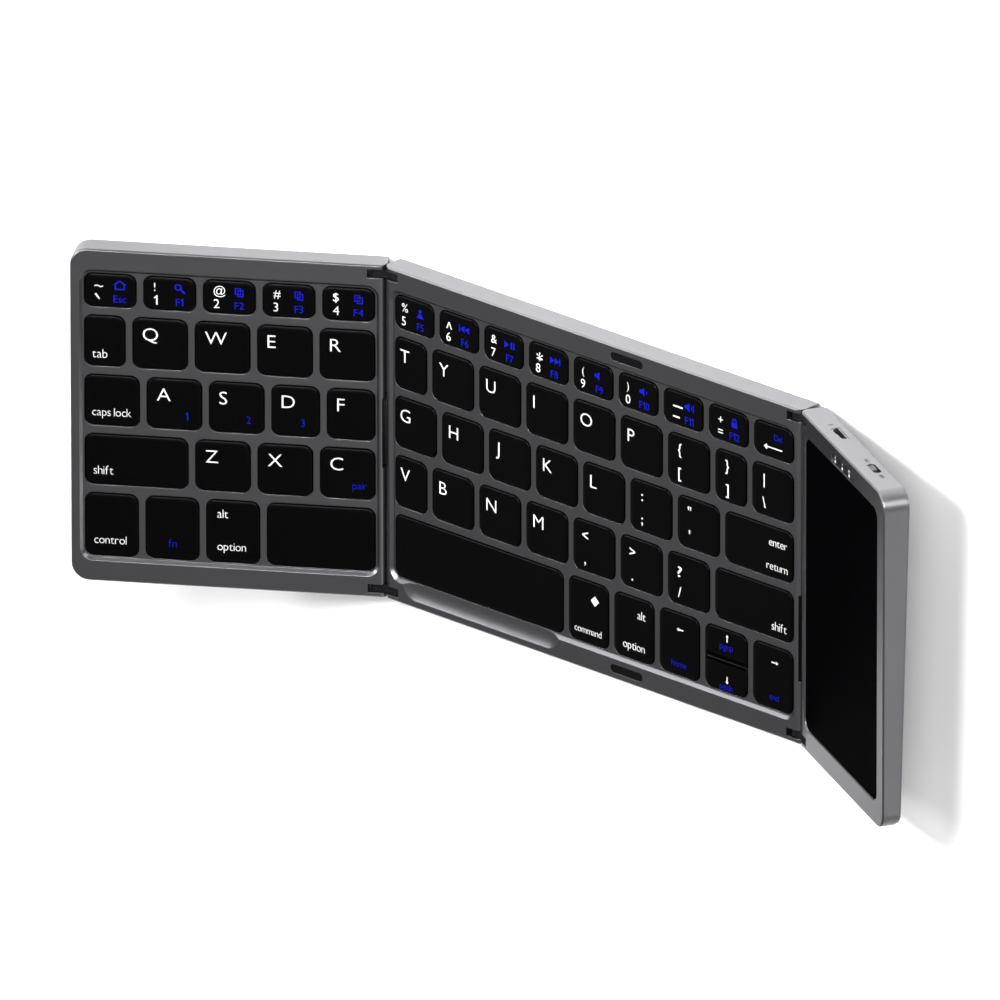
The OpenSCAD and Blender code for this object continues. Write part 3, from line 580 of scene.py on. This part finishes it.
HOUSE_HALF = [(0, 1.6), (0, 1.15), (1.0, 0.25), (1.0, -0.9), (0, -0.9), (0, -1.3), (1.4, -1.3), (1.4, 0.2),
              (1.9, 0.2)]
SKIP = [[(-1.6, -1), (0, 0), (-1.6, 1)], [(0.1, -1), (1.7, 0), (0.1, 1)], bar(1.75, 2.15)]
TRIANGLE = [(-1.9, -1), (-0.2, 0), (-1.9, 1)]
LOUDSPEAKER = [(-1.7, -0.5), (-0.9, -0.5), (0, -1.3), (0, 1.3), (-0.9, 0.5), (-1.7, 0.5)]
SHACKLE = [(-0.8, 0.3), (-0.4, 0.3), (-0.35, 0.9), (0.35, 0.9), (0.4, 0.3), (0.8, 0.3), (0.65, 1.35),
           (-0.65, 1.35)]
SHOULDERS = [(-1.3, -1.3), (1.3, -1.3), (0.5, -0.1), (-0.5, -0.1)]
MAGNIFIER_HANDLE = [(0.3, -0.3), (0.6, 0), (1.6, -1.1), (1.2, -1.4)]
# x and y of its middle, inner and outer radius
MAGNIFIER_RING = (-0.4, 0.5, 0.62, 1.0)
BOLT = [(-0.05, -0.75), (0.4, 0.12), (0.05, 0.12), (0.22, 0.75), (-0.38, -0.1), (-0.03, -0.1)]
# the closed shapes of each number key's mark around its middle, two to three millimetres high
ICONS = {
    "home": [mirrored(HOUSE_HALF)[::-1], HOUSE_HALF],
    "find": [MAGNIFIER_HANDLE],
    "sheet": sheet_outline(-0.35, 0.3) + sheet_outline(0.35, -0.3),
    "person": [SHOULDERS, polygon(0, 0.75, 0.6, 8)],
    "back": [mirrored(shape) for shape in SKIP],
    "play": [TRIANGLE, bar(0.4, 0.9), bar(1.3, 1.8)],
    "ahead": SKIP,
    "sound off": [LOUDSPEAKER],
    "sound down": [LOUDSPEAKER, sound_wave(0)],
    "sound up": [LOUDSPEAKER, sound_wave(0), sound_wave(1)],
    "lock": [bar(-1, 1, -1.3, 0.2), SHACKLE],
}


def icon(bm, kind, x, y):
    """The mark of a number key's second use."""
    for shape in ICONS[kind]:
        add_shape(bm, [(x + px, y + py) for px, py in shape])
    if kind == "find":
        ring_x, ring_y, inner, outer = MAGNIFIER_RING
        add_ring(bm, x + ring_x, y + ring_y, inner, outer)


# ---- which legend is on which key ----


class Legends:
    """The white and the blue marks of one key node."""

    def __init__(self):
        self.white, self.blue = bmesh.new(), bmesh.new()


LEGENDS = {}


def legends_on(panel, row, i):
    """The marks of the key node that a window belongs to."""
    node = next(name for name, (its_panel, its_row, first, last) in KEY_NODES.items()
                if its_panel == panel and its_row == row and first <= i <= last)
    if node not in LEGENDS:
        LEGENDS[node] = Legends()
    return LEGENDS[node]


# how much thinner than the font each kind of legend is
DIGIT_THIN, FUNCTION_THIN, LETTER_THIN, WORD_THIN, PAGE_THIN = -0.014, -0.008, -0.016, -0.02, -0.016

# number keys: upper sign, digit, blue icon, blue word
NUMBER_KEYS = {
    "left": [("~", "`", "home", "Esc"), ("!", "1", "find", "F1"), ("@", "2", "sheet", "F2"),
             ("#", "3", "sheet", "F3"), ("$", "4", "sheet", "F4")],
    "middle": [("%", "5", "person", "F5"), ("^", "6", "back", "F6"), ("&", "7", "play", "F7"),
               ("*", "8", "ahead", "F8"), ("(", "9", "sound off", "F9"), (")", "0", "sound down", "F10"),
               ("_", "-", "sound up", "F11"), ("+", "=", "lock", "F12")]}
# the digit's left edge and the blue marks' middle from a key's left edge, and a drop from its rear edge
NUMBER_KEY_FIT = {"left": (3.1, 10.1, 0), "middle": (3.0, 9.7, 0.3)}
DIGIT_H, DIGIT_BASE, FUNCTION_H, FUNCTION_BASE, ICON_DROP = 2.75, 8.3, 2.25, 8.4, 3.4
# an upper sign's cap height, its baseline below the key's rear edge and its shift to the right
UPPER_FIT = {"*": (4.4, 6.7, 0.2), "^": (3.9, 6.3, -0.1), "~": (3.4, 5.0, 0), "_": (2.6, 4.4, 0.9),
             "+": (2.6, 4.8, 0.9), "(": (2.3, 4.3, 0.5), ")": (2.3, 4.3, 0.4)}
USUAL_UPPER_FIT = (2.6, 4.3, 0)
LOWER_SHIFT = {"-": 0.8, "=": 0.8}
for panel, keys in NUMBER_KEYS.items():
    digit_x, blue_x, drop = NUMBER_KEY_FIT[panel]
    for i, (upper, digit, kind, word) in enumerate(keys):
        x, y, w, d = window(panel, 0, i)
        left, rear = x - w / 2, y + d / 2 - drop
        marks = legends_on(panel, 0, i)
        high, base, shift = UPPER_FIT.get(upper, USUAL_UPPER_FIT)
        add_text(marks.white, digit, left + digit_x + LOWER_SHIFT.get(digit, 0), rear - DIGIT_BASE, DIGIT_H,
                 bold=DIGIT_THIN)
        add_text(marks.white, upper, left + digit_x + shift, rear - base, high, bold=DIGIT_THIN)
        add_text(marks.blue, word, left + blue_x, rear - FUNCTION_BASE, FUNCTION_H, "middle",
                 bold=FUNCTION_THIN)
        icon(marks.blue, kind, left + blue_x, rear - ICON_DROP)

LETTERS = {("left", 1): " QWER", ("left", 2): " ASDF", ("left", 3): " ZXC",
           ("middle", 1): "TYUIOP", ("middle", 2): "GHJKL", ("middle", 3): "VBNM"}
LETTER_H, LETTER_WIDE, LETTER_INSET, FIRST_INSET = 4.0, 1.08, 3.0, 2.4
# a letter's baseline below its key's rear edge
LETTER_BASE = {"left": 6.75, "middle": 7.2}
for (panel, row), letters in LETTERS.items():
    for i, letter in enumerate(letters):
        if letter == " ":
            continue
        x, y, w, d = window(panel, row, i)
        inset = FIRST_INSET if i == 0 else LETTER_INSET
        add_text(legends_on(panel, row, i).white, letter, x - w / 2 + inset, y + d / 2 - LETTER_BASE[panel],
                 LETTER_H, wide=LETTER_WIDE, bold=LETTER_THIN)

# keys with one sign above another
PAIRS = {("middle", 1, 6): "{[", ("middle", 1, 7): "}]", ("middle", 1, 8): "|\\", ("middle", 2, 5): ":;",
         ("middle", 2, 6): "\"'", ("middle", 3, 4): "<,", ("middle", 3, 5): ">.", ("middle", 3, 6): "?/"}
PAIR_H, PAIR_X, UPPER_BASE, QUESTION_BASE, LOWER_BASE, QUESTION_WIDE = 3.2, 4.7, 5.9, 6.9, 12.8, 1.7
for (panel, row, i), signs in PAIRS.items():
    x, y, w, d = window(panel, row, i)
    ink = legends_on(panel, row, i).white
    for sign, base in zip(signs, (QUESTION_BASE if "?" in signs else UPPER_BASE, LOWER_BASE)):
        wide = QUESTION_WIDE if sign == "?" else 1.0
        add_text(ink, sign, x - w / 2 + PAIR_X, y + d / 2 - base, PAIR_H, "middle", wide, bold=0.0)

# words: panel, row, window, text, ink, x and baseline y from the panel's middle, cap height, anchor
WORDS = [
    ("middle", 2, 7, "enter", "white", 70.5, 6.2, 2.55, "right"),
    ("middle", 2, 7, "return", "white", 70.7, -0.8, 2.55, "right"),
    ("middle", 3, 7, "shift", "white", 70.4, -18.3, 2.7, "right"),
    ("middle", 4, 1, "command", "white", -1.7, -38.8, 2.15, "middle"),
    ("middle", 4, 2, "alt", "white", 19.2, -29.2, 2.6, "right"),
    ("middle", 4, 2, "option", "white", 15.0, -38.7, 2.6, "middle"),
    ("middle", 4, 3, "home", "blue", 31.4, -39.1, 2.1, "middle"),
    ("middle", 4, 5, "end", "blue", 65.9, -39.0, 2.1, "middle"),
    ("middle", 0, 8, "Del", "blue", 67.2, 37.3, 1.9, "middle"),
    ("left", 1, 0, "tab", "white", -81.0, 16.9, 2.75, "left"),
    ("left", 2, 0, "caps lock", "white", -81.1, -0.2, 2.55, "left"),
    ("left", 3, 0, "shift", "white", -80.8, -17.5, 2.75, "left"),
    ("left", 4, 0, "control", "white", -80.7, -38.0, 2.6, "left"),
    ("left", 4, 1, "fn", "blue", -59.1, -38.0, 2.6, "middle"),
    ("left", 4, 2, "alt", "white", -46.7, -28.4, 2.7, "left"),
    ("left", 4, 2, "option", "white", -46.7, -38.0, 2.6, "left"),
    ("left", 2, 1, "1", "blue", -55.0, -0.1, 2.3, "middle"),
    ("left", 2, 2, "2", "blue", -38.0, -0.1, 2.3, "middle"),
    ("left", 2, 3, "3", "blue", -23.0, -0.1, 2.3, "middle"),
    ("left", 3, 3, "pair", "blue", -7.4, -17.6, 2.3, "middle")]
WORD_WIDE = 0.93
for panel, row, i, text, ink, x, y, high, anchor in WORDS:
    add_text(getattr(legends_on(panel, row, i), ink), text, x, y, high, anchor, WORD_WIDE, WORD_THIN)

LEGENDS.update({node_name: Legends() for node_name in HALF_KEYS})
# arrows: node, x and y of the middle, length, direction in degrees, length of the head
ARROWS = [("arrow_up_key", 48.9, -25.7, 2.2, 90, 0.7), ("arrow_down_key", 48.9, -38.0, 2.2, -90, 0.7),
          ("arrow_left_key", 31.8, -28.0, 2.3, 180, 0.7), ("arrow_right_key", 66.2, -27.9, 2.4, 0, 0.7),
          ("middle_number_keys", 65.4, 34.9, 6.6, 180, 1.1)]
for node_name, x, y, length, direction, head in ARROWS:
    add_shape(LEGENDS[node_name].white, arrow_shape(x, y, length, direction, head))
PAGE_X, PAGE_H = 48.6, 2.0
for node_name, text, base in (("arrow_up_key", "pgup", -29.1), ("arrow_down_key", "pgdn", -40.9)):
    add_text(LEGENDS[node_name].blue, text, PAGE_X, base, PAGE_H, "middle", bold=PAGE_THIN)
# a command key's plain diamond
add_shape(legends_on("middle", 4, 1).white, polygon(0.8, -28.5, 1.5, 4))

for node_name, marks in LEGENDS.items():
    panel = KEY_NODES[node_name][0] if node_name in KEY_NODES else "middle"
    for bm, label, ink in ((marks.white, "white", WHITE_INK), (marks.blue, "blue", BLUE_INK)):
        if bm.verts:
            new_piece(f"{node_name}_{label}_legends", bm, PANELS[panel][0], ink, node_name, smooth=0)
        else:
            bm.free()

# ---- marks on the right panel ----

# under the indicator window: a dot for each light, and a sign behind each dot
LENS_X, LENS_Y, LENS_DROP, LIGHT_PITCH = 32, 45.15, 0.2, 5.3
DOT_R, DOT_DROP, SIGN_RISE, LOCK_SIGN_H, LOCK_SIGN_RISE = 0.42, 0.62, 0.6, 0.95, 0.1
CHARGE_SIGN, CHAIN_SHIFT, CHAIN_HOLE_R, CHAIN_R = 0.65, 0.32, 0.24, 0.42
dots, signs = bmesh.new(), bmesh.new()
for i in (-1, 0, 1):
    add_shape(dots, polygon(LENS_X + i * LIGHT_PITCH, LENS_Y - DOT_DROP, DOT_R, 20), -LENS_DROP)
add_text(signs, "A", LENS_X - LIGHT_PITCH, LENS_Y + LOCK_SIGN_RISE, LOCK_SIGN_H, "middle", z=-LENS_DROP)
add_shape(signs, [(LENS_X + x * CHARGE_SIGN, LENS_Y + SIGN_RISE + y * CHARGE_SIGN) for x, y in BOLT],
          -LENS_DROP)
for shift in (-CHAIN_SHIFT, CHAIN_SHIFT):
    add_ring(signs, LENS_X + LIGHT_PITCH + shift, LENS_Y + SIGN_RISE, CHAIN_HOLE_R, CHAIN_R, -LENS_DROP)
new_piece("indicator_dots", dots, RIGHT, WHITE_INK, "right_panel", smooth=0)
new_piece("indicator_signs", signs, RIGHT, GREY_INK, "right_panel", smooth=0)

# the rear wall's own frame: x towards the hinge, y up, z out of the wall
REAR_WALL = RIGHT @ Matrix.Translation((0, HALF_D, 0)) @ turn(180, "Z") @ turn(90, "X")
SOCKET_X, SOCKET_Z = 18.8, 4.3
SWITCH_X, SWITCH_Z = RIGHT_W - 19.4, 4.6
# how far each mark is from the middle of its opening, and its size
ON_SHIFT, OFF_SHIFT, WORD_DROP, BOLT_SHIFT, WALL_MARK_H = 5.6, -5.9, 0.6, 6.6, 1.2
marks = bmesh.new()
for word, shift in (("ON", ON_SHIFT), ("OFF", OFF_SHIFT)):
    add_text(marks, word, -SWITCH_X + shift, -SWITCH_Z - WORD_DROP, WALL_MARK_H, "middle", z=0)
add_shape(marks, [(-SOCKET_X + BOLT_SHIFT + x * WALL_MARK_H, -SOCKET_Z + y * WALL_MARK_H)
                  for x, y in BOLT], 0)
new_piece("rear_wall_marks", marks, REAR_WALL, DARK_INK, "right_panel", smooth=0)

# ---- ribbons across the hinges ----

RIBBON_T, RIBBON_Z, RIBBON_TAB, RIBBON_PITCH, RIBBON_EDGE = 0.5, -2.0, 2.9, 0.45, 0.12
EASING_ROUNDS = 3
# two distances from a hinge pin, carried with each half of a ribbon below; nothing reads them
BEND_START, BEND_END = 0.5, 3.1
# side: its direction in x, the outer panel's frame, the ribbon's middle in y and its width
RIBBONS = {"left": (-1, LEFT, -0.5, 20), "right": (1, RIGHT, -18.3, 25)}


def spaced(points, pitch):
    """Points along a path of straight runs, an even number on each, eased so that its corners are round."""
    path = [points[0]]
    for a, b in zip(points, points[1:]):
        count = 2 * max(1, round((b - a).length / pitch / 2))
        path += [a.lerp(b, (k + 1) / count) for k in range(count)]
    for _ in range(EASING_ROUNDS):
        path = [path[0]] + [(p + q * 2 + r) / 4 for p, q, r in zip(path, path[1:], path[2:])] + [path[-1]]
    return path


def ribbon_half(name, path, y, width, replaced):
    """One half of a ribbon with eased long edges, along a path in the middle panel's frame."""
    bm = bmesh.new()
    last = len(path) - 1
    sheet = bmesh.ops.create_grid(bm, x_segments=last, y_segments=1, size=0.5)["verts"]
    for v in sheet:
        k = round((v.co.x + 0.5) * last)
        ahead = (path[min(k + 1, last)] - path[max(k - 1, 0)]).normalized()
        up = Vector((-ahead.z, 0, ahead.x)) * math.copysign(RIBBON_T / 2, ahead.x)
        v.co = path[k] + up + Vector((0, y + v.co.y * width, 0))
    bmesh.ops.solidify(bm, geom=list(bm.faces), thickness=RIBBON_T)
    bmesh.ops.recalc_face_normals(bm, faces=list(bm.faces))
    long_edges = []
    for e in bm.edges:
        run = e.verts[1].co - e.verts[0].co
        if e.calc_face_angle() > 1 and abs(run.y) < 0.01 and abs(run.length - RIBBON_T) > 0.01:
            long_edges.append(e)
    bmesh.ops.bevel(bm, geom=long_edges, offset=RIBBON_EDGE, affect="EDGES", segments=2, profile=0.5,
                    material=-1)
    return new_piece(name, bm, MIDDLE, RIBBON_RUBBER, None, replaced, smooth=50)


for side_name, (side, panel_frame, y, width) in RIBBONS.items():
    to_middle = MIDDLE.inverted() @ panel_frame
    pins = [Vector((side * (HALF_M - PIN_INSET), 0, -PIN_DEPTH)),
            to_middle @ Vector((side * PIN_INSET, 0, -PIN_DEPTH))]
    pins[1].y = 0
    ends = [Vector((side * (HALF_M - RIBBON_TAB), 0, RIBBON_Z)), Vector((side * HALF_M, 0, RIBBON_Z))]
    ends += [to_middle @ Vector((side * x, 0, RIBBON_Z)) for x in (0, RIBBON_TAB)]
    path = spaced(ends, RIBBON_PITCH)
    mid = len(path) // 2
    links, outer = side_name + "_links", side_name + "_panel"
    halves = (("inner", path[:mid + 1], ("middle_panel", links), pins[0], BEND_START, BEND_END),
              ("outer", path[mid:], (links, outer), pins[1], -BEND_END, -BEND_START))
    for part, run, bodies, pin, start, end in halves:
        piece = ribbon_half(f"{side_name}_ribbon_{part}", run, y, width, [side_name + "_flex"])
        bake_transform(piece)

# ---- screws in the covers ----

SCREW_D, SCREW_LEN, SCREW_X, FREE_SCREW_X, SCREW_Y = 2.0, 1.6, 9, 4.5, HALF_D - 4.6
# an underside's own frame: z = 0 on the cover's outer face, z up into the panel
UNDER = Matrix.Translation((0, 0, -MID_T)) @ Matrix.Rotation(-WEDGE, 4, "X")
SCREW_ROWS = {"middle": (MIDDLE, -HALF_M + SCREW_X, HALF_M - SCREW_X),
              "left": (LEFT, -LEFT_W + FREE_SCREW_X, -SCREW_X),
              "right": (RIGHT, SCREW_X, RIGHT_W - FREE_SCREW_X)}
# a head's softened edge, its flat rim, and the crossed recess in it
EDGE_RISE, EDGE_INSET, HEAD_RIM, RECESS_DEPTH, RECESS_DRAFT = 0.12, 0.15, 0.18, 0.55, 0.05
# how far the recess reaches at each corner in a quarter turn
RECESS_REACH = [0.62, 0.64, 0.33, 0.235, 0.33, 0.64]
HEAD_CORNERS = 4 * len(RECESS_REACH)


def screw(bm, x, y):
    """A small screw with its head down and a crossed recess in it."""
    end = bmesh.ops.create_circle(bm, cap_ends=True, radius=SCREW_D / 2, segments=HEAD_CORNERS)["verts"]
    bmesh.ops.translate(bm, vec=(x, y, SCREW_LEN), verts=end)
    head = raised_face(bm, end[0].link_faces[0], EDGE_RISE - SCREW_LEN)
    step(bm, head, EDGE_INSET, -EDGE_RISE)
    step(bm, head, HEAD_RIM, 0)
    for v in head.verts:
        dx, dy = v.co.x - x, v.co.y - y
        corner = round(math.atan2(dy, dx) / (2 * math.pi) * HEAD_CORNERS) % len(RECESS_REACH)
        reach = RECESS_REACH[corner] / math.hypot(dx, dy)
        v.co.x, v.co.y = x + dx * reach, y + dy * reach
    step(bm, head, RECESS_DRAFT, RECESS_DEPTH)


for panel_name, (panel_frame, x0, x1) in SCREW_ROWS.items():
    bm = bmesh.new()
    for x in (x0, x1):
        for y in (-SCREW_Y, SCREW_Y):
            screw(bm, x, y)
    bmesh.ops.recalc_face_normals(bm, faces=list(bm.faces))
    new_piece(panel_name + "_screw_heads", bm, panel_frame @ UNDER, SCREW_STEEL, panel_name + "_panel",
              [panel_name + "_screws"], smooth=35)

# ---- studio ----

FLOOR_HALF, SKY_STRENGTH = 3, 0.3
# name, place and aim in metres, width and height, power in watts, spread in degrees
LAMPS = [("key_light", (2.5, 1.4, 2.7), (0, 0, 0), (2.1, 1.4), 105, 180),
         ("rear_overhead_light", (0.09, 0.42, 0.7), (-0.04, 0.12, 0), (0.5, 0.12), 1.3, 45),
         ("high_left_light", (-0.78, 0.36, 0.87), (-0.04, -0.045, 0), (0.34, 0.16), 0.65, 60),
         ("rear_left_light", (-1.15, 1.25, 0.62), (0, 0, 0), (1.4, 1.1), 16, 180),
         ("rear_right_light", (1.0, 0.6, 0.15), (0, 0, 0), (0.5, 0.3), 3.0, 180),
         ("right_light", (1.6, -0.7, 0.3), (0, 0, 0), (1.0, 0.5), 1.8, 180)]


def studio():
    """An even sky, a pale floor and the lamps."""
    world = bpy.data.worlds.new("studio")
    bpy.context.scene.world = world
    world.use_nodes = True
    back = world.node_tree.nodes["Background"]
    back.inputs["Color"].default_value = (1, 1, 1, 1)
    back.inputs["Strength"].default_value = SKY_STRENGTH
    floor_mesh = bpy.data.meshes.new("floor")
    bm = bmesh.new()
    bmesh.ops.create_grid(bm, x_segments=1, y_segments=1, size=FLOOR_HALF)
    bm.to_mesh(floor_mesh)
    bm.free()
    floor = bpy.data.objects.new("floor", floor_mesh)
    bpy.context.scene.collection.objects.link(floor)
    floor_mesh.materials.append(finish("floor_paper", (0.86, 0.86, 0.86), 0.9, grain=3, bump=0.0, tone=0.01))
    for name, at, aim, size, power, spread in LAMPS:
        data = bpy.data.lights.new(name, "AREA")
        data.shape = "RECTANGLE"
        data.size, data.size_y = size
        data.energy = power
        data.spread = math.radians(spread)
        lamp = bpy.data.objects.new(name, data)
        bpy.context.scene.collection.objects.link(lamp)
        lamp.location = at
        lamp.rotation_euler = (Vector(aim) - Vector(at)).to_track_quat("-Z", "Y").to_euler()


studio()
